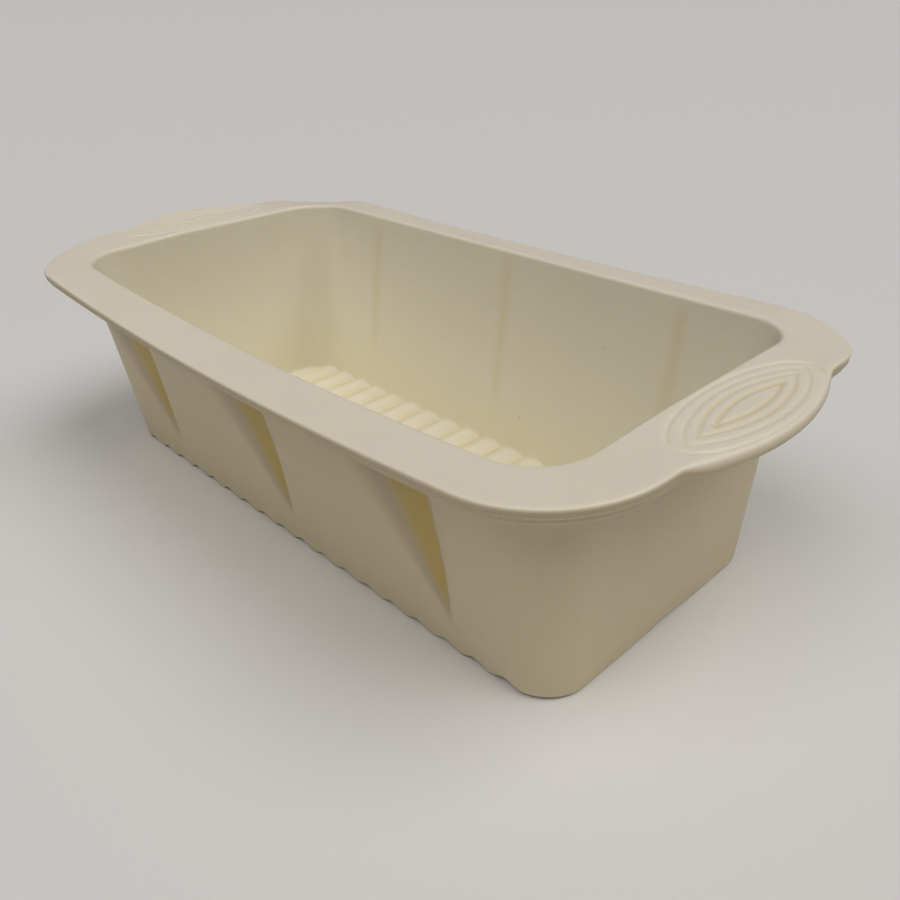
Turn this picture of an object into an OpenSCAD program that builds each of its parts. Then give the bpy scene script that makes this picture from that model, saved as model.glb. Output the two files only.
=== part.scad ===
// Loaf mould for soap or baking, moulded in one piece from soft cream silicone.
// The moulding is drawn as named regions that meet face to face: a corrugated floor pan,
// two fluted long walls, two end walls with the corners, four lengths of rim and two grip tabs.
// Origin: middle of the face that it stands on. +X along the loaf, +Y across, +Z up.

/* [Rim] */
// Length of the rim without the grip tabs
rim_length = 256; // [250:1:262]
// Width of the rim
rim_width = 137; // [134:1:140]
// Radius of the rim's outer corners
rim_corner_r = 30; // [26:1:32]
// Height of the whole mould
total_h = 72.5; // [64:0.5:78]
// Thickness of the rim's flat plate
rim_plate_t = 2.8; // [2.4:0.1:3.2]
// How far the lip hangs below the plate along the outer edge
lip_drop = 1.8; // [1:0.1:2]
// Width of the lip
lip_w = 2.4; // [2:0.1:3]
// How far the lip stands in from the plate's outer edge
lip_inset = 0.7; // [0.3:0.1:0.8]

/* [Cavity] */
// Length of the cavity under the rim
mouth_length = 219.6; // [216:0.1:221]
// Width of the cavity under the rim
mouth_width = 106.4; // [104:0.1:108]
// Radius of the cavity's corners under the rim
mouth_corner_r = 15; // [13:0.5:16]
// How far the rim's inner edge is eased back
mouth_ease = 1.5; // [1.2:0.1:2.4]

/* [Base] */
// Length of the base outside
base_length = 221; // [218:0.5:222]
// Width of the base outside
base_width = 98; // [96:0.5:99]
// Radius of the base's outer corners
base_corner_r = 13; // [12:0.5:15]
// Length of the cavity's floor
floor_length = 213; // [211:0.5:214]
// Width of the cavity's floor
floor_width = 86; // [84:0.5:90]
// Radius of the floor's corners
floor_corner_r = 11; // [9:0.5:12]

/* [Walls] */
// Thickness of the end walls under the rim
end_top_t = 2.7; // [2.4:0.1:3.6]
// Thickness of the long walls under the rim, between flutes
side_top_t = 3; // [2.8:0.1:3.8]

/* [Flutes] */
// Number of flutes in each long wall
flute_count = 3; // [1:1:3]
// Distance from one flute to the next
flute_pitch = 71.9; // [66:0.1:72]
// Width under the rim of a flute's long flank, on the left of its crease
flute_long_w = 20; // [14:1:20]
// Width under the rim of a flute's short flank, on the right of its crease
flute_short_w = 10; // [6:1:14]
// How far right of its own middle a flute's crease stands at its foot
flute_foot_x = 5; // [0:0.5:6]
// How far left of its own middle a flute's crease stands under the rim
flute_top_x = 2; // [0:0.5:2]
// Height where a flute runs out to a point
flute_foot_z = 11; // [8:1:16]
// Height from where a flute's crease keeps its full depth
flute_full_z = 32; // [24:1:44]
// Silicone left behind a flute's crease
flute_skin = 1; // [0.9:0.1:1.6]

/* [Floor] */
// Thickness of the floor
floor_t = 1.8; // [1.6:0.1:2.6]
// Distance from one floor ridge to the next
ridge_pitch = 11.2; // [10.8:0.1:11.4]
// Number of ridges across the floor
ridge_count = 18; // [14:2:18]
// Width of a ridge where it meets the floor
ridge_w = 9.6; // [8.4:0.1:10]
// Height of a ridge above the floor
ridge_h = 1.8; // [1.4:0.1:2]
// Gap between the end of a ridge and the cavity's wall
ridge_end_gap = 0.3; // [0.2:0.1:2]

/* [Grip tabs] */
// How far a grip tab stands out from the rim
tab_out = 7.5; // [6:0.5:10]
// Width of a grip tab where it leaves the rim
tab_width = 66; // [60:1:70]
// Depth of the groove that follows the tab's edge
tab_groove_d = 0.6; // [0.4:0.1:0.8]
// How far that groove stands in from the tab's edge
tab_groove_inset = 2.5; // [2:0.1:4]
// Width of that groove
tab_groove_w = 1; // [0.6:0.1:1.4]

/* [Hidden] */

rim_under_z = total_h - rim_plate_t;

// half sizes
rim_a = rim_length / 2;
rim_b = rim_width / 2;
mouth_a = mouth_length / 2;
mouth_b = mouth_width / 2;
base_a = base_length / 2;
base_b = base_width / 2;
floor_a = floor_length / 2;
floor_b = floor_width / 2;
top_a = mouth_a + end_top_t;
top_b = mouth_b + side_top_t;
top_r = mouth_corner_r + end_top_t;

// the long walls run nearly as far as the corners begin; the ends take the rest
corner_gap = 0.6;
side_half = min(base_a - base_corner_r, top_a - top_r) - corner_gap;

// the rim is cut into lengths where its outer corners begin
rim_cut = rim_a - rim_corner_r;
tab_half = tab_width / 2;

// a ridge is the top of a cylinder that lies across the floor
ridge_r = (ridge_w * ridge_w / 4 + ridge_h * ridge_h) / (2 * ridge_h);
ridge_axis_z = floor_t + ridge_h - ridge_r;
groove_r = ridge_r - floor_t;

eps = 0.01;
far = 400;
cut_over = 8;

module rounded_slice(a, b, r, z, t = eps) {
    translate([0, 0, z])
        linear_extrude(t)
            rounded_outline(a, b, r);
}

module rounded_outline(a, b, r) {
    square([2 * a, 2 * (b - r)], center = true);
    square([2 * (a - r), 2 * b], center = true);
    for (sx = [-1, 1], sy = [-1, 1])
        translate([sx * (a - r), sy * (b - r)]) circle(r, $fn = 64);
}

// A straight loft from a low outline to a high one.
module loft(a0, b0, r0, z0, a1, b1, r1, z1) {
    hull() {
        rounded_slice(a0, b0, r0, z0);
        rounded_slice(a1, b1, r1, z1 - eps);
    }
}

// ---------------------------------------------------------------- floor
module floor_pan() {
    color("cornsilk")
        difference() {
            union() {
                rounded_slice(base_a, base_b, base_corner_r, 0, floor_t);
                ridges();
            }
            ridge_rows() rotate([90, 0, 0]) cylinder(r = groove_r, h = far, center = true, $fn = 48);
        }
}

module ridge_rows() {
    for (i = [0 : ridge_count - 1])
        translate([(i - (ridge_count - 1) / 2) * ridge_pitch, 0, ridge_axis_z])
            children();
}

// The ridges run nearly to the cavity's walls.
module ridges() {
    intersection() {
        ridge_rows() rotate([90, 0, 0]) cylinder(r = ridge_r, h = far, center = true, $fn = 48);
        rounded_slice(floor_a - ridge_end_gap, floor_b - ridge_end_gap,
                      floor_corner_r - ridge_end_gap, floor_t / 2, far);
    }
}

// ---------------------------------------------------------------- walls
// A long wall is a leaning slab, thicker at the top, with flutes cut in its outer face.
module long_wall() {
    difference() {
        rotate([90, 0, 90])
            linear_extrude(2 * side_half, center = true)
                polygon([[floor_b, floor_t], [base_b, floor_t],
                         [top_b, rim_under_z], [mouth_b, rim_under_z]]);
        for (i = [0 : flute_count - 1])
            translate([(i - (flute_count - 1) / 2) * flute_pitch, 0, 0]) flute();
    }
}

// The long wall's outer and inner faces at a height.
function face_y(z) = base_b + (top_b - base_b) * (z - floor_t) / (rim_under_z - floor_t);
function inner_y(z) = floor_b + (mouth_b - floor_b) * (z - floor_t) / (rim_under_z - floor_t);

// A flute's crease and the edges of its two flanks at a height.
function flute_grow(z) = (z - flute_foot_z) / (rim_under_z - flute_foot_z);
function crease_x(z) = flute_foot_x - (flute_foot_x + flute_top_x) * flute_grow(z);
function flute_left(z) = [crease_x(z) - flute_long_w * flute_grow(z), face_y(z), z];
function flute_right(z) = [crease_x(z) + flute_short_w * flute_grow(z), face_y(z), z];
function flute_crease(z) = [crease_x(z), inner_y(z) + flute_skin, z];

// A flute is a lopsided V that starts at a point and soon runs at its full depth, where only a
// thin skin is left in front of the cavity.
module flute() {
    over_z = rim_under_z + cut_over;
    outward = [0, cut_over, 0];
    edges = [[crease_x(flute_foot_z), face_y(flute_foot_z), flute_foot_z],
             flute_left(over_z), flute_right(over_z)];
    hull() {
        for (p = edges) {
            translate(p) cube(eps);
            translate(p + outward) cube(eps);
        }
        translate(flute_crease(flute_full_z)) cube(eps);
        translate(flute_crease(over_z)) cube(eps);
    }
}

module front_wall() {
    color("wheat") mirror([0, 1, 0]) long_wall();
}

module back_wall() {
    color("wheat") long_wall();
}

// An end wall with both its corners, up to the plane where the long walls start.
module end_wall() {
    intersection() {
        difference() {
            loft(base_a, base_b, base_corner_r, floor_t, top_a, top_b, top_r, rim_under_z);
            loft(floor_a, floor_b, floor_corner_r, floor_t - eps,
                 mouth_a, mouth_b, mouth_corner_r, rim_under_z + eps);
        }
        translate([side_half, -far / 2, 0]) cube([far, far, far]);
    }
}

module right_end_wall() {
    color("moccasin") end_wall();
}

module left_end_wall() {
    color("moccasin") mirror([1, 0, 0]) end_wall();
}

// ---------------------------------------------------------------- rim
// The plate with its hanging lip, all the way round. Its inner edge is eased back.
module whole_rim() {
    difference() {
        rim_slab(0, rim_under_z, rim_plate_t);
        rounded_slice(mouth_a, mouth_b, mouth_corner_r, rim_under_z - cut_over, 2 * cut_over);
        loft(mouth_a, mouth_b, mouth_corner_r, rim_under_z + rim_plate_t - mouth_ease,
             mouth_a + mouth_ease, mouth_b + mouth_ease, mouth_corner_r + mouth_ease, total_h + eps);
    }
    difference() {
        rim_slab(lip_inset, rim_under_z - lip_drop, lip_drop);
        rim_slab(lip_inset + lip_w, rim_under_z - 2 * lip_drop, 3 * lip_drop);
    }
}

// A slab with the rim's outline, drawn in by inset.
module rim_slab(inset, z, t) {
    rounded_slice(rim_a - inset, rim_b - inset, rim_corner_r - inset, z, t);
}

module long_rim() {
    intersection() {
        whole_rim();
        translate([-rim_cut, 0, 0]) cube([2 * rim_cut, far, far]);
    }
}

module end_rim() {
    intersection() {
        whole_rim();
        translate([rim_cut, -far / 2, 0]) cube([far, far, far]);
    }
}

module front_rim() {
    color("antiquewhite") mirror([0, 1, 0]) long_rim();
}

module back_rim() {
    color("antiquewhite") long_rim();
}

module right_rim() {
    color("linen") end_rim();
}

module left_rim() {
    color("linen") mirror([1, 0, 0]) end_rim();
}

// ---------------------------------------------------------------- grip tabs
// A shallow circular segment outside the rim's end face.
module tab_outline(inset) {
    r = (tab_half * tab_half + tab_out * tab_out) / (2 * tab_out);
    intersection() {
        translate([rim_a + tab_out - r, 0]) circle(r - inset, $fn = 128);
        translate([rim_a, -tab_half]) square([far, tab_width]);
    }
}

module grip_tab() {
    difference() {
        union() {
            translate([0, 0, rim_under_z]) linear_extrude(rim_plate_t) tab_outline(0);
            translate([0, 0, rim_under_z - lip_drop])
                linear_extrude(lip_drop)
                    difference() {
                        tab_outline(lip_inset);
                        tab_outline(lip_inset + lip_w);
                    }
        }
        tab_groove();
    }
}

// The outermost grip groove follows the tab's edge.
module tab_groove() {
    translate([0, 0, total_h - tab_groove_d])
        linear_extrude(2 * tab_groove_d)
            difference() {
                tab_outline(tab_groove_inset);
                tab_outline(tab_groove_inset + tab_groove_w);
            }
}

module right_grip_tab() {
    color("bisque") grip_tab();
}

module left_grip_tab() {
    color("bisque") mirror([1, 0, 0]) grip_tab();
}

floor_pan();
front_wall();
back_wall();
left_end_wall();
right_end_wall();
front_rim();
back_rim();
left_rim();
right_rim();
left_grip_tab();
right_grip_tab();
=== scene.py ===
import math

import bmesh
import bpy
import numpy as np
from mathutils import Matrix, Vector


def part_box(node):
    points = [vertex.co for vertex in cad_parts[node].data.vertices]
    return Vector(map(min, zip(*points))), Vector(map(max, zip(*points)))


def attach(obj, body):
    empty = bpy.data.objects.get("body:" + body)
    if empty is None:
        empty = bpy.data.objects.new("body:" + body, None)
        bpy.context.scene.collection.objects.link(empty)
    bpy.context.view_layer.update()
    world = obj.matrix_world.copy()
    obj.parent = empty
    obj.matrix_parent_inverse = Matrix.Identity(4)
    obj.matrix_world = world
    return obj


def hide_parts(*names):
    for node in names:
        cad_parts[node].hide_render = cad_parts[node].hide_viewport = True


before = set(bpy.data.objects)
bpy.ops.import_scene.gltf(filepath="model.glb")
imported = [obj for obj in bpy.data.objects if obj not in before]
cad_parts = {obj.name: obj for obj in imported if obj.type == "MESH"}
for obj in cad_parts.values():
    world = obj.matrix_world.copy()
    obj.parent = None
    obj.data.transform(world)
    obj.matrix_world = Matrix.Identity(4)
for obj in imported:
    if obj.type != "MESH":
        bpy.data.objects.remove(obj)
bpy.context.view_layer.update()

# Soap loaf mould. The CAD regions are one silicone moulding, so one continuous skin stands for
# them all. The skin is a stack of loops, from the cavity's floor up the inner wall, over the
# rim, and down the outer wall to the base, closed by a floor grid at each end of the stack.
# Lengths are in millimetres until the mesh is made.

MM = 0.001


def low(node):
    return np.array(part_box(node)[0]) / MM


def high(node):
    return np.array(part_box(node)[1]) / MM


# ---------------------------------------------------------------- sizes
RIM_TOP = high("front_rim")[2]
RIM_UNDER = high("front_wall")[2]
RIM = (high("right_rim")[0], high("back_rim")[1], 30.0)  # half-length, half-width, corner radius
TOP = (high("right_end_wall")[0], high("back_wall")[1], 18.5)
BASE = (high("floor_pan")[0], high("floor_pan")[1], 13.0)
MOUTH = (109.8, 53.2, 15.0)
FLOOR = (106.5, 39.6, 11.0)
FLOOR_T = low("front_wall")[2]
MOUTH_EASE = 1.5
TAB_OUT = high("right_grip_tab")[0] - RIM[0]
TAB_HALF = high("right_grip_tab")[1]
TAB_SOFT = 0.6

RIDGE_PITCH = 11.2
RIDGES_EACH_SIDE = 9
LAST_RIDGE = (RIDGES_EACH_SIDE - 0.5) * RIDGE_PITCH
RIDGE_H = high("floor_pan")[2] - FLOOR_T
RIDGE_FOOT = 5.6     # half-width of a ridge at its foot
RIDGE_FLAT = 2.4      # how flat a ridge's crown is
RIDGE_STEEP = 0.9     # how steeply its sides fall
SCALLOP_H = 1.8
SCALLOP_FADE = 8.0

COLUMNS_PER_RIDGE = 12
FLUTE_PITCH = 77 * RIDGE_PITCH / COLUMNS_PER_RIDGE   # whole mesh columns, so creases lie on them
FLUTE_TIP = 0.4       # half-width of a flute at its pointed foot
FLUTE_LONG = 0.70     # spread of a flute's long flank for each mm above its foot
FLUTE_SHORT = 0.20
FLUTE_SOFT = 0.08     # softness of a flute's outer edges, as a share of its width
FLUTE_CURVE = 1.4     # hollowness of its long flank, where 1 is flat
FLUTE_FOOT = 11.0
FLUTE_DEEP = 2.6
FLUTE_RISE = 12.0
FLUTE_LEAN = 0.12   # sideways run of a crease for each mm of height
FLUTE_FOOT_SHIFT = 5.0
PAINTED_RISE = 12.0      # height over which a flute's painted shade and glow come in above its foot
# level of the painted shade on a flute's shoulder and on the rim's edge, below the painted ochre glow
SHOULDER_SHADE = 0.3
SHOULDER = (-1.0, 0.5)    # start and run of the shaded shoulder, in widths of the long flank
DEEPEST = (-0.60, 0.42)   # start and run of the painted ochre glow before the crease
BAND_GLOW = 0.28      # painted yellow glow of the faint bands inside the cavity
BAND_SHIFT = 2.3
BAND_WIDE = 2.4
BAND_RISE = 14.0
BAND_TOP = (3.0, 4.0)  # where the bands end below the rim, and over how much height
BAND_LEAN = 0.5       # share of the creases' lean that the bands have
FOOT_GLOW = 0.22      # painted yellow glow and shade at the inner walls' feet, which fades out at the height below
FOOT_GLOW_TOP = 34.0
# Painted yellow glow over the floor, with painted shade and glow deepening into the valleys between the
# ridges; the edge margin keeps it off the walls' fillet.
FLOOR_GLOW = 0.10
FLOOR_GLOW_EDGE = 0.3
VALLEY_GLOW = 0.45

FLOOR_FILLET = 1.2
BASE_ROUND = 1.0
UNDER_FILLET = 1.6
FLAT_TOP = 0.01       # how near the rim's top a point counts as on it
PATTERN_MARGIN = 1.5  # finely meshed rim beyond each end of the grip tabs
GROOVE_MARGIN = 2.0   # rim beyond each end of the tabs that the grip grooves may reach

# ---------------------------------------------------------------- sampling
ARC_STEPS = 14
FILLET_STEPS = 4
MOUTH_STEPS = 5
EDGE_STEPS = 5
UNDER_STEPS = 3
WALL_STEPS_INSIDE = 14
WALL_STEPS_OUTSIDE = 30
RIM_STEPS = 12
UNDER_RIM_STEPS = 6
TAB_CUTS = 3
STRAIGHT_HALF = FLOOR[0] - FLOOR[2]
COLUMN_STEP = RIDGE_PITCH / COLUMNS_PER_RIDGE
ACROSS_BREAK = 0.78


def shares_along():
    """Mesh columns along the straight sides, a whole number to each ridge, from -1 to 1."""
    half = np.arange(1, int(STRAIGHT_HALF / COLUMN_STEP) + 1) * RIDGE_PITCH / COLUMNS_PER_RIDGE
    return np.concatenate([[-STRAIGHT_HALF], -half[::-1], [0.0], half, [STRAIGHT_HALF]]) / STRAIGHT_HALF


def shares_across():
    """Mesh rows across the ends, closer together towards the corners, from -1 to 1."""
    middle = np.linspace(-ACROSS_BREAK, ACROSS_BREAK, 27)
    outer = np.linspace(ACROSS_BREAK, 1.0, 12)[1:]
    return np.concatenate([-outer[::-1], middle, outer])


ALONG = shares_along()
ACROSS = shares_across()
ROW = 2 * ARC_STEPS + len(ALONG) - 1
COLUMN = len(ACROSS) - 1
LOOP = 2 * (ROW + COLUMN)


def smooth_max(value, softness):
    """max(value, 0) with a soft knee."""
    return 0.5 * (value + np.sqrt(value * value + softness * softness))


def ease(value):
    """A smooth step from 0 to 1."""
    value = np.clip(value, 0, 1)
    return value * value * (3 - 2 * value)


def front_row(a, b, r):
    """The front side of a rounded rectangle, left to right, with both its quarter corners."""
    turn = np.radians(np.linspace(0, 90, ARC_STEPS + 1))
    left = np.column_stack([-a + r * (1 - np.cos(turn)), -b + r * (1 - np.sin(turn))])
    middle = np.column_stack([(a - r) * ALONG[1:-1], np.full(len(ALONG) - 2, -b)])
    right = left[::-1] * [-1, 1]
    return np.vstack([left, middle, right])


def outline(size, inset=0.0, tab=0.0):
    """A closed loop round a rounded rectangle, anticlockwise from its left front corner."""
    a, b, r = (s - inset for s in size)
    front = front_row(a, b, r)
    side = np.column_stack([np.full(COLUMN - 1, a), (b - r) * ACROSS[1:-1]])
    points = np.vstack([front, side, -front, -side])
    return points + tab * tab_bulge(points, a, r)


def tab_bulge(points, a, r):
    """How far the grip tabs carry the rim's end faces outward, with a soft notch at their ends."""
    radius = (TAB_HALF**2 + TAB_OUT**2) / (2 * TAB_OUT)
    reach = np.sqrt(np.clip(radius**2 - points[:, 1] ** 2, 0, None)) - (radius - TAB_OUT)
    push = smooth_max(reach, TAB_SOFT)
    push = np.where(np.abs(points[:, 0]) > a - r, push, 0.0)
    return np.column_stack([np.sign(points[:, 0]) * push, np.zeros(len(points))])


# ---------------------------------------------------------------- relief
def ridge_side(x):
    """From 0 on a ridge's crest to 1 in the valleys and on the plain floor."""
    nearest = (np.floor(x / RIDGE_PITCH) + 0.5) * RIDGE_PITCH
    beside = x - np.clip(nearest, -LAST_RIDGE, LAST_RIDGE)
    return np.clip(np.abs(beside) / RIDGE_FOOT, 0, 1)


def ridge(x):
    """Height of the floor's ridges: round bars that run into both long walls."""
    return RIDGE_H * (1 - ridge_side(x) ** RIDGE_FLAT) ** RIDGE_STEEP


def scallop(x):
    """Height of the grooves under the floor, one below each ridge."""
    inside = np.abs(x) < RIDGES_EACH_SIDE * RIDGE_PITCH
    return SCALLOP_H * inside * (0.5 - 0.5 * np.cos(2 * np.pi * x / RIDGE_PITCH))


def crease_shift(z):
    """How far right of its own middle a flute's crease stands at each height."""
    return FLUTE_FOOT_SHIFT - FLUTE_LEAN * (z - FLUTE_FOOT)


def beside_crease(along):
    """How far right of the nearest of the three creases a place along the wall is."""
    return along - np.clip(np.round(along / FLUTE_PITCH), -1, 1) * FLUTE_PITCH


def flute(x, z):
    """Depth of the long walls' flutes, which widen and deepen from a point towards the rim."""
    climb = np.clip(z - FLUTE_FOOT, 0, None)
    deep = FLUTE_DEEP * (1 - np.exp(-climb / FLUTE_RISE))
    beside = beside_crease(x - crease_shift(z))
    spread = np.where(beside < 0, FLUTE_LONG, FLUTE_SHORT) * climb + FLUTE_TIP
    share = smooth_max(1 - np.abs(beside) / spread, FLUTE_SOFT) - FLUTE_SOFT**2 / 4
    return deep * np.clip(share, 0, 1) ** np.where(beside < 0, FLUTE_CURVE, 1)


def flank(x, z):
    """Painted shade and ochre glow on a flute, standing in for light through the thinner silicone
    there: a little on the long flank, most before the crease.
    """
    climb = np.clip(z - FLUTE_FOOT, 0, None)
    beside = beside_crease(x - crease_shift(z))
    across = beside / (FLUTE_LONG * climb + FLUTE_TIP)
    shoulder = ease((across - SHOULDER[0]) / SHOULDER[1])
    deepest = ease((across - DEEPEST[0]) / DEEPEST[1])
    thin = SHOULDER_SHADE * shoulder + (1 - SHOULDER_SHADE) * deepest
    falling = np.clip(1 - beside / (0.3 * FLUTE_SHORT * climb + 0.5), 0, 1)
    return np.clip(climb / PAINTED_RISE, 0, 1) * thin * np.where(beside > 0, falling, 1)


# Nested grip outlines on each tab: half-width, half-length, pointedness (0.5 oval, 1 leaf),
# groove half-width, depth and how much painted yellow glow the groove has.
GRIP_CENTRE = 122.9
GRIP_SHIFT = 2.2    # the right tab's outlines stand this far back from its middle
GRIP_RINGS = [
    (11.0, 29.8, 0.50, 0.42, 0.50, 0.10),
    (8.3, 26.2, 0.70, 0.42, 0.36, 0.15),
    (5.6, 21.8, 0.90, 0.48, 0.34, 0.40),
    (2.7, 15.0, 1.00, 0.55, 0.40, 0.55),
]
TIP_DEEP = 0.7      # dimple at each tip of the inmost outline
TIP_WIDE = 0.8
LEFT_GRIP_GLOW = 0.5   # how much of the painted yellow glow the left tab's grooves get, beside the right tab's


def grip_grooves(x, y):
    """Depth of the grip grooves on the rim's ends, and how much painted yellow glow they have."""
    across = np.abs(np.abs(x) - GRIP_CENTRE)
    y = y - np.where(x > 0, GRIP_SHIFT, 0)
    depth = np.zeros(len(x))
    thin = np.zeros(len(x))
    for half_w, half_l, point, groove, deep, yellow in GRIP_RINGS:
        power = 1 / point
        level = (across / half_w) ** power + (y / half_l) ** 2 - 1
        slope_x = power * (across / half_w + 1e-6) ** (power - 1) / half_w
        slope_y = 2 * y / half_l**2
        away = level / np.sqrt(slope_x**2 + slope_y**2 + 1e-8)
        share = np.exp(-((away / groove) ** 2))
        depth = np.maximum(depth, deep * share)
        thin = np.maximum(thin, yellow * share)
    tip = np.hypot(across, np.abs(y) - GRIP_RINGS[-1][1])
    share = np.exp(-((tip / TIP_WIDE) ** 2))
    faded = np.where(x > 0, 1, LEFT_GRIP_GLOW)
    return np.maximum(depth, TIP_DEEP * share), faded * np.maximum(thin, share)


# ---------------------------------------------------------------- loops of the skin
def quarter(steps):
    """Sine and cosine of the turns of a quarter round, without its start."""
    for turn in np.linspace(0, math.pi / 2, steps + 1)[1:]:
        yield math.sin(turn), math.cos(turn)


def loop_at(size, z, inset=0.0, tab=0.0):
    points = outline(size, inset, tab)
    return np.column_stack([points, np.full(LOOP, float(z))])


def between(lower, upper, steps):
    """Loops from lower to upper, without lower."""
    return [lower + (upper - lower) * t for t in np.linspace(0, 1, steps + 1)[1:]]


def inner_loops():
    loops = [loop_at(FLOOR, FLOOR_T, FLOOR_FILLET)]
    for s, c in quarter(FILLET_STEPS):
        loops.append(loop_at(FLOOR, FLOOR_T + FLOOR_FILLET * (1 - c), FLOOR_FILLET * (1 - s)))
    foot, mouth = loops[-1], loop_at(MOUTH, RIM_TOP - MOUTH_EASE)
    loops.append(foot + (mouth - foot) * 0.02)
    loops += between(foot, mouth, WALL_STEPS_INSIDE)
    for s, c in quarter(MOUTH_STEPS):
        loops.append(loop_at(MOUTH, RIM_TOP - MOUTH_EASE * (1 - s), -MOUTH_EASE * (1 - c)))
    for loop in loops:
        low_enough = loop[:, 2] < FLOOR_T + FLOOR_FILLET
        raised = FLOOR_T + ridge(loop[:, 0])
        loop[:, 2] = np.where(low_enough, np.maximum(loop[:, 2], raised), loop[:, 2])
    return loops


# Inset and drop below the rim's top, from the plate's edge to the lip's inner foot: first where
# the lip hangs under a parting groove, then round the grip tabs, which have a tall plain bevel.
LIP_EDGE = [
    (0.10, 1.30), (0.22, 1.75), (0.30, 2.10), (0.12, 2.30), (0.10, 2.50), (0.55, 2.75),
    (0.75, 3.30), (0.85, 4.00), (1.20, 4.45), (1.90, 4.60), (2.60, 4.45), (2.95, 3.90),
    (3.15, 3.15), (3.60, 2.80),
]
TAB_EDGE = [
    (0.03, 2.50), (0.08, 2.70), (0.15, 2.90), (0.25, 3.10), (0.38, 3.32), (0.55, 3.55),
    (0.78, 3.72), (1.00, 3.98), (1.35, 4.20), (1.85, 4.30), (2.40, 4.15), (2.85, 3.70),
    (3.15, 3.15), (3.60, 2.80),
]
LIP_ROUND = (0.9, 0.9)   # width and height of the plate's rounded edge
TAB_ROUND = (1.7, 2.3)


def rounded(size, steps):
    """Inset and drop of a quarter round, from the flat top down."""
    wide, tall = size
    return [(wide, 0.0)] + [(wide * (1 - s), tall * (1 - c)) for s, c in quarter(steps)]


def rim_loops(mouth_edge):
    """The rim's top, its rounded edge, the parting groove and the hanging lip."""
    plain = outline(RIM)
    on_tab = np.clip(np.abs(tab_bulge(plain, RIM[0], RIM[2])[:, :1]) / 2.5, 0, 1)
    edge = []
    lip_profile = rounded(LIP_ROUND, EDGE_STEPS) + LIP_EDGE
    tab_profile = rounded(TAB_ROUND, EDGE_STEPS) + TAB_EDGE
    for lip_point, tab_point in zip(lip_profile, tab_profile):
        lip = loop_at(RIM, RIM_TOP - lip_point[1], lip_point[0], 1)
        tab = loop_at(RIM, RIM_TOP - tab_point[1], tab_point[0], 1)
        edge.append(lip + (tab - lip) * on_tab)
    return between(mouth_edge, edge[0], RIM_STEPS) + edge[1:]


def outer_loops(lip_foot):
    """The rim's underside, the outer wall with its flutes, and the rounded foot."""
    loops = between(lip_foot, loop_at(TOP, RIM_UNDER, -UNDER_FILLET), UNDER_RIM_STEPS)
    for s, c in quarter(UNDER_STEPS):
        loops.append(loop_at(TOP, RIM_UNDER - UNDER_FILLET * (1 - c), -UNDER_FILLET * (1 - s)))
    loops += between(loops[-1], loop_at(BASE, BASE_ROUND), WALL_STEPS_OUTSIDE)
    for s, c in quarter(FILLET_STEPS):
        loops.append(loop_at(BASE, BASE_ROUND * (1 - s), BASE_ROUND * (1 - c)))
    for loop in loops[UNDER_RIM_STEPS - 1:]:
        on_long_side = np.abs(loop[:, 1]) > TOP[1] - TOP[2]
        keep = np.clip(np.abs(loop[:, 0]) / STRAIGHT_HALF, 0, 1) ** 12
        loop[:, 0] += np.where(on_long_side, crease_shift(loop[:, 2]) * (1 - keep), 0)
        cut = np.where(on_long_side, flute(loop[:, 0], loop[:, 2]), 0.0)
        loop[:, 1] -= np.sign(loop[:, 1]) * cut
        fade = np.clip(1 - loop[:, 2] / SCALLOP_FADE, 0, 1) ** 2
        loop[:, 2] += scallop(loop[:, 0]) * fade
    return loops


def grid_index(i, j, first):
    """Loop vertex of a floor grid's edge point: i along the mould, j across it."""
    if j == 0:
        return first + i
    if i == ROW:
        return first + ROW + j
    if j == COLUMN:
        return first + 2 * ROW + COLUMN - i
    return first + (2 * ROW + 2 * COLUMN - j) % LOOP


def floor_grid(edge, height, first, next_free):
    """Points inside a floor's edge loop, and the table of vertex numbers of its grid."""
    front = edge[: ROW + 1]
    xs = front[1:-1, 0]
    ys = front[1:-1, 1][:, None] * -ACROSS[None, 1:-1]
    points = np.column_stack([np.repeat(xs, COLUMN - 1), ys.ravel(), np.zeros(ys.size)])
    points[:, 2] = height(points[:, 0])
    table = np.empty((ROW + 1, COLUMN + 1), dtype=np.int64)
    for i in range(ROW + 1):
        for j in (0, COLUMN):
            table[i, j] = grid_index(i, j, first)
    for j in range(COLUMN + 1):
        for i in (0, ROW):
            table[i, j] = grid_index(i, j, first)
    table[1:-1, 1:-1] = next_free + np.arange(ys.size).reshape(ys.shape)
    return points, table


def grid_faces(table):
    a, b = table[:-1, :-1].ravel(), table[1:, :-1].ravel()
    c, d = table[1:, 1:].ravel(), table[:-1, 1:].ravel()
    return np.column_stack([a, b, c, d])


def wall_faces(count):
    starts = np.arange(count - 1)[:, None] * LOOP
    i = np.arange(LOOP)[None, :]
    here, after = starts + i, starts + (i + 1) % LOOP
    return np.column_stack([here.ravel(), (here + LOOP).ravel(), (after + LOOP).ravel(), after.ravel()])


def skin_arrays():
    """Points and faces of the true shape, how many loops are inner ones, and the loop count."""
    inner = inner_loops()
    rim = rim_loops(inner[-1])
    outer = outer_loops(rim[-1])
    loops = inner + rim + outer
    stack = np.vstack(loops)
    inside, top_table = floor_grid(loops[0], lambda x: FLOOR_T + ridge(x), 0, len(stack))
    under, foot_table = floor_grid(
        loops[-1], scallop, (len(loops) - 1) * LOOP, len(stack) + len(inside))
    points = np.vstack([stack, inside, under])
    faces = np.vstack([wall_faces(len(loops)), grid_faces(top_table), grid_faces(foot_table)[:, ::-1]])
    return points, faces, len(inner), len(inner) + len(rim), len(loops)


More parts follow.
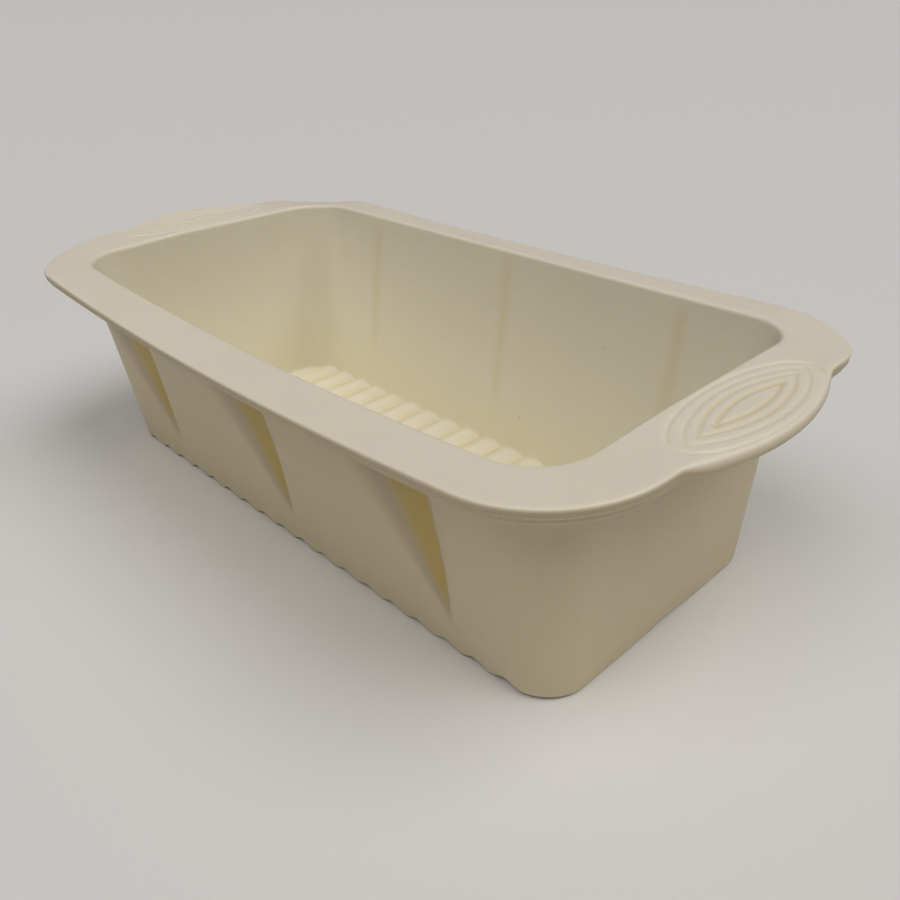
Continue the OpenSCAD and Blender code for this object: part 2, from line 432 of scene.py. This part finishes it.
# ---------------------------------------------------------------- painted light and shade of the skin
def near_crease(x, z):
    """From 0 to 1 inside the cavity, in faint bands of painted glow near the creases of the flutes
    outside.
    """
    along = x - BAND_LEAN * crease_shift(z) - BAND_SHIFT
    climb = ease((z - FLUTE_FOOT) / BAND_RISE) * ease((RIM_TOP - BAND_TOP[0] - z) / BAND_TOP[1])
    return climb * np.exp(-((beside_crease(along) / BAND_WIDE) ** 2))


def tones(points, inner_count, rim_count, loop_count):
    """For each point: how much painted shade and ochre glow its flute or rim edge has, how much painted
    yellow glow it has, and how much painted outside shade it has.
    """
    thin, glow, outer = np.zeros((3, len(points)))
    foot, walls = rim_count * LOOP, loop_count * LOOP
    x, y, z = points[foot:walls].T
    thin[foot:walls] = np.where(np.abs(y) > TOP[1] - TOP[2], flank(x, z), 0)
    # Painted yellow glow and shade inside the cavity: at the walls' feet and in faint bands behind the
    # creases.
    x, y, z = points[: inner_count * LOOP].T
    on_wall = (np.abs(y) > FLOOR[1] - FLOOR[2]) & (z > FLOOR_T + RIDGE_H)
    low_down = FOOT_GLOW * ease((FOOT_GLOW_TOP - z) / FOOT_GLOW_TOP)
    creases = np.where(on_wall, BAND_GLOW * near_crease(x, z), 0)
    glow[: inner_count * LOOP] = np.maximum(low_down, creases)
    # Painted glow on the floor, deepening to painted shade in the valleys between the ridges.
    on_floor = (np.abs(points[:, 0]) < LAST_RIDGE + RIDGE_FOOT) & (points[:, 2] < FLOOR_T + RIDGE_H)
    on_floor &= np.abs(points[:, 1]) < FLOOR[1] - FLOOR_FILLET - FLOOR_GLOW_EDGE
    on_floor[foot:walls] = False
    glow = np.where(on_floor, FLOOR_GLOW + VALLEY_GLOW * ridge_side(points[:, 0]) ** 3, glow)
    # Painted shade on the rim's rounded edge and lip: the outside shade comes in over the rounding,
    # with the shoulders' painted shade on top of it.
    edge_loops = len(LIP_EDGE) + EDGE_STEPS - 1
    edge = (rim_count - edge_loops) * LOOP
    over_edge = np.arange(edge_loops) / (EDGE_STEPS - 1)
    outer[edge:foot] = np.repeat(np.clip(over_edge, 0, 1), LOOP)
    thin[edge:foot] = SHOULDER_SHADE * outer[edge:foot]
    # Painted shade on the outer walls and the underside.
    outer[foot:walls] = 1
    outer[points[:, 2] < FLOOR_T / 2] = 1
    return thin, glow, outer


# ---------------------------------------------------------------- flex of the soft moulding
FRONT_BOW = 2.4
FRONT_SAG = 3.8
FRONT_TILT = 1.1
BACK_TILT = 2.0
CORNER_DROOP = 3.5
CORNER_DROOP_LEFT = 1.5    # how much more the left corners droop, and the back ones below
CORNER_DROOP_BACK = 1.3
TAB_CURL = 1.5
FRONT_PART = (10, 30)      # where the front's bow starts in -y, and over what width it comes in
CORNER_PART = (95, 35, 40) # where a corner's droop starts in x and in y, and its width
RIGHT_PART = (70, 40)      # the same in x for the right end's lift
STIFF_UP_TO = 0.8          # share of the height below which the rim's own bending stops
# Waves that lift the right end's lower edge: height, middle and width along y.
RIGHT_LIFTS = [(0.9, 2, 9), (1.2, -50, 12), (0.8, 47, 12)]


def flexed(points):
    """The moulding as it stands: its front rim has bowed out and sagged, and its rim droops."""
    x, y, z = points.T.copy()
    up = np.clip(z / RIM_TOP, 0, 1)
    along = np.clip(1 - (x / RIM[0]) ** 2, 0, 1)
    front = ease((-y - FRONT_PART[0]) / FRONT_PART[1])
    outward = np.clip((np.abs(y) - MOUTH[1]) / (RIM[1] - MOUTH[1]), 0, 1)
    up_high = np.clip((up - STIFF_UP_TO) / (1 - STIFF_UP_TO), 0, 1)
    moved_y = y - FRONT_BOW * along * front * up**2
    sag = FRONT_SAG * along * front * up**1.5
    sag += FRONT_TILT * along * front * outward * up_high
    sag += BACK_TILT * along * (y > 0) * outward * up_high
    corner_x, corner_y, wide = CORNER_PART
    corner = ease((np.abs(x) - corner_x) / wide) * ease((np.abs(y) - corner_y) / wide)
    droop = CORNER_DROOP - CORNER_DROOP_LEFT * np.sign(x) + CORNER_DROOP_BACK * np.sign(y)
    sag += droop * corner * up_high
    on_tab = np.clip(1 - (y / TAB_HALF) ** 2, 0, 1)
    curl = np.clip((-x - MOUTH[0]) / (RIM[0] + TAB_OUT - MOUTH[0]), 0, 1)
    sag -= TAB_CURL * on_tab * curl**2 * up_high
    lift = sum(height * np.exp(-(((y - middle) / width) ** 2)) for height, middle, width in RIGHT_LIFTS)
    sag -= lift * ease((x - RIGHT_PART[0]) / RIGHT_PART[1]) * (1 - up) ** 2
    return np.column_stack([x, moved_y, z - sag])


# ---------------------------------------------------------------- the skin as a mesh
def refine_tabs(bm):
    """Splits the rim's top faces round each grip pattern finely enough to hold its grooves."""
    def holds_pattern(face):
        c = face.calc_center_median()
        beside_tab = abs(c.y) < TAB_HALF + PATTERN_MARGIN and abs(c.x) > MOUTH[0]
        return beside_tab and c.z > RIM_TOP - FLAT_TOP

    wanted = {edge for face in bm.faces if holds_pattern(face) for edge in face.edges}
    bmesh.ops.subdivide_edges(bm, edges=list(wanted), cuts=TAB_CUTS, use_grid_fill=True)


def mesh_points(mesh):
    flat = np.empty(len(mesh.vertices) * 3)
    mesh.vertices.foreach_get("co", flat)
    return flat.reshape(-1, 3)


def make_skin():
    points, faces, inner_count, rim_count, loop_count = skin_arrays()
    mesh = bpy.data.meshes.new("mould_skin")
    mesh.from_pydata(points.tolist(), [], faces.tolist())
    bm = bmesh.new()
    bm.from_mesh(mesh)
    refine_tabs(bm)
    bm.to_mesh(mesh)
    bm.free()
    fine = mesh_points(mesh)
    thin, glow, outer = np.zeros((3, len(fine)))
    coarse = slice(0, len(points))
    thin[coarse], glow[coarse], outer[coarse] = tones(points, inner_count, rim_count, loop_count)
    on_top = (fine[:, 2] > RIM_TOP - FLAT_TOP) & (np.abs(fine[:, 0]) > MOUTH[0])
    on_pattern = on_top & (np.abs(fine[:, 1]) < TAB_HALF + GROOVE_MARGIN)
    grooves, yellow = grip_grooves(fine[:, 0], fine[:, 1])
    fine[:, 2] -= np.where(on_pattern, grooves, 0)
    # The grip grooves add painted yellow glow.
    glow = np.maximum(glow, np.where(on_pattern, yellow, 0))
    mesh.vertices.foreach_set("co", (flexed(fine) * MM).ravel())
    for name, values in (("thin", thin), ("glow", glow), ("outer", outer)):
        mesh.attributes.new(name, "FLOAT", "POINT").data.foreach_set("value", values)
    mesh.polygons.foreach_set("use_smooth", [True] * len(mesh.polygons))
    mesh.update()
    skin = bpy.data.objects.new("mould_skin", mesh)
    bpy.context.scene.collection.objects.link(skin)
    return skin


# ---------------------------------------------------------------- material
def node(tree, kind, **settings):
    made = tree.nodes.new(kind)
    for name, value in settings.items():
        setattr(made, name, value)
    return made


def mix_colour(tree, factor, first, second):
    mix = node(tree, "ShaderNodeMix", data_type="RGBA")
    tree.links.new(factor, mix.inputs["Factor"])
    for socket, value in ((mix.inputs[6], first), (mix.inputs[7], second)):
        if isinstance(value, tuple):
            socket.default_value = value
        else:
            tree.links.new(value, socket)
    return mix.outputs[2]


def noise_value(tree, where, scale, detail=3.0, rough=0.5):
    made = node(tree, "ShaderNodeTexNoise")
    made.inputs["Scale"].default_value = scale
    made.inputs["Detail"].default_value = detail
    made.inputs["Roughness"].default_value = rough
    tree.links.new(where, made.inputs["Vector"])
    return made.outputs["Fac"]


def ramp(tree, value, low_end, high_end, low_out=0.0, high_out=1.0):
    made = node(tree, "ShaderNodeMapRange", clamp=True)
    made.inputs["From Min"].default_value = low_end
    made.inputs["From Max"].default_value = high_end
    made.inputs["To Min"].default_value = low_out
    made.inputs["To Max"].default_value = high_out
    tree.links.new(value, made.inputs["Value"])
    return made.outputs["Result"]


# The yellow, outside, shaded and ochre tones are painted glow and shade; the creams and the speck are
# the silicone's own colour and dust.
CREAM = (0.875, 0.862, 0.74, 1)
CREAM_WARM = (0.86, 0.843, 0.71, 1)
YELLOW_GLOW = (0.74, 0.64, 0.32, 1)
OUTSIDE_SHADE = (0.70, 0.625, 0.425, 1)
SHADED = (0.55, 0.48, 0.33, 1)
OCHRE_GLOW = (0.60, 0.45, 0.15, 1)
SPECK = (0.10, 0.08, 0.05, 1)


def silicone():
    material = bpy.data.materials.new("cream_silicone")
    material.use_nodes = True
    tree = material.node_tree
    shader = tree.nodes["Principled BSDF"]
    where = node(tree, "ShaderNodeTexCoord").outputs["Object"]
    thin, glow, outer = (
        node(tree, "ShaderNodeAttribute", attribute_name=name).outputs["Fac"]
        for name in ("thin", "glow", "outer"))
    clouds = ramp(tree, noise_value(tree, where, 14, 4, 0.6), 0.35, 0.65)
    colour = mix_colour(tree, clouds, CREAM, CREAM_WARM)
    # Over the cream: painted shade on the outside, painted yellow glow, painted shade, then painted
    # ochre glow.
    colour = mix_colour(tree, outer, colour, OUTSIDE_SHADE)
    colour = mix_colour(tree, glow, colour, YELLOW_GLOW)
    colour = mix_colour(tree, ramp(tree, thin, 0.0, SHOULDER_SHADE), colour, SHADED)
    colour = mix_colour(tree, ramp(tree, thin, SHOULDER_SHADE, 0.95), colour, OCHRE_GLOW)
    dust = ramp(tree, noise_value(tree, where, 700, 1, 0.5), 0.81, 0.84, 0.0, 0.5)
    colour = mix_colour(tree, dust, colour, SPECK)
    tree.links.new(colour, shader.inputs["Base Color"])
    shader.inputs["Subsurface Weight"].default_value = 0.4
    shader.inputs["Subsurface Radius"].default_value = (1.0, 0.75, 0.28)
    shader.inputs["Subsurface Scale"].default_value = 0.0012
    shader.inputs["IOR"].default_value = 1.41
    rough = ramp(tree, noise_value(tree, where, 60, 4, 0.6), 0.3, 0.7, 0.42, 0.56)
    tree.links.new(rough, shader.inputs["Roughness"])
    grain = noise_value(tree, where, 1400, 2, 0.6)
    bump = node(tree, "ShaderNodeBump")
    bump.inputs["Strength"].default_value = 0.06
    bump.inputs["Distance"].default_value = 0.0004
    tree.links.new(grain, bump.inputs["Height"])
    tree.links.new(bump.outputs["Normal"], shader.inputs["Normal"])
    return material


def pale_floor():
    bpy.ops.mesh.primitive_plane_add(size=40)
    floor = bpy.context.object
    floor.name = "studio_floor"
    material = bpy.data.materials.new("pale_floor")
    material.use_nodes = True
    shader = material.node_tree.nodes["Principled BSDF"]
    shader.inputs["Base Color"].default_value = (0.81, 0.84, 0.855, 1)
    shader.inputs["Roughness"].default_value = 0.9
    floor.data.materials.append(material)


# ---------------------------------------------------------------- lights and camera
LIGHT_COLOUR = (1.0, 0.92, 0.875)
SKY_COLOUR = (0.97, 0.98, 1.0, 1)
CAMERA_PLACE = (196.1, -159.5, 155.3)
CAMERA_AZIMUTH = -44.468    # which way the camera's back faces, in degrees from +X
CAMERA_ELEVATION = 32.898
CAMERA_ROLL = -0.948


def direction(azimuth, elevation):
    """The unit vector at an azimuth from +X and an elevation, both in radians."""
    flat = math.cos(elevation)
    return Vector((math.cos(azimuth) * flat, math.sin(azimuth) * flat, math.sin(elevation)))


def soft_light(name, azimuth, elevation, strength, softness):
    """A soft sun, which lights the floor evenly."""
    light = bpy.data.lights.new(name, "SUN")
    light.energy = strength
    light.color = LIGHT_COLOUR
    light.angle = math.radians(softness)
    holder = bpy.data.objects.new(name, light)
    towards = direction(math.radians(azimuth), math.radians(elevation))
    holder.rotation_euler = towards.to_track_quat("Z", "Y").to_euler()
    bpy.context.scene.collection.objects.link(holder)


def world_light(strength):
    world = bpy.data.worlds.new("studio")
    bpy.context.scene.world = world
    world.use_nodes = True
    background = world.node_tree.nodes["Background"]
    background.inputs["Color"].default_value = SKY_COLOUR
    background.inputs["Strength"].default_value = strength


def add_camera():
    """Looks down on the right front corner, from near enough for a strong perspective."""
    camera = bpy.data.cameras.new("camera")
    camera.sensor_width = 36
    camera.lens = 32.4
    camera.shift_x = -0.022
    camera.shift_y = 0.052
    holder = bpy.data.objects.new("camera", camera)
    azimuth, elevation, roll = map(math.radians, (CAMERA_AZIMUTH, CAMERA_ELEVATION, CAMERA_ROLL))
    back = direction(azimuth, elevation)
    level = Vector((-math.sin(azimuth), math.cos(azimuth), 0))
    right = level * math.cos(roll) + back.cross(level) * math.sin(roll)
    turn = Matrix((right, back.cross(right), back)).transposed().to_4x4()
    holder.matrix_world = Matrix.Translation(Vector(CAMERA_PLACE) * MM) @ turn
    bpy.context.scene.collection.objects.link(holder)
    bpy.context.scene.camera = holder


skin = make_skin()
skin.data.materials.append(silicone())
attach(skin, "root")
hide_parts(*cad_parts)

pale_floor()
soft_light("right", azimuth=30, elevation=60, strength=1.28, softness=45)
soft_light("front", azimuth=-95, elevation=60, strength=0.94, softness=45)
soft_light("corner", azimuth=-30, elevation=65, strength=0.18, softness=45)
world_light(0.03)
add_camera()
bpy.context.scene.view_settings.view_transform = "Standard"
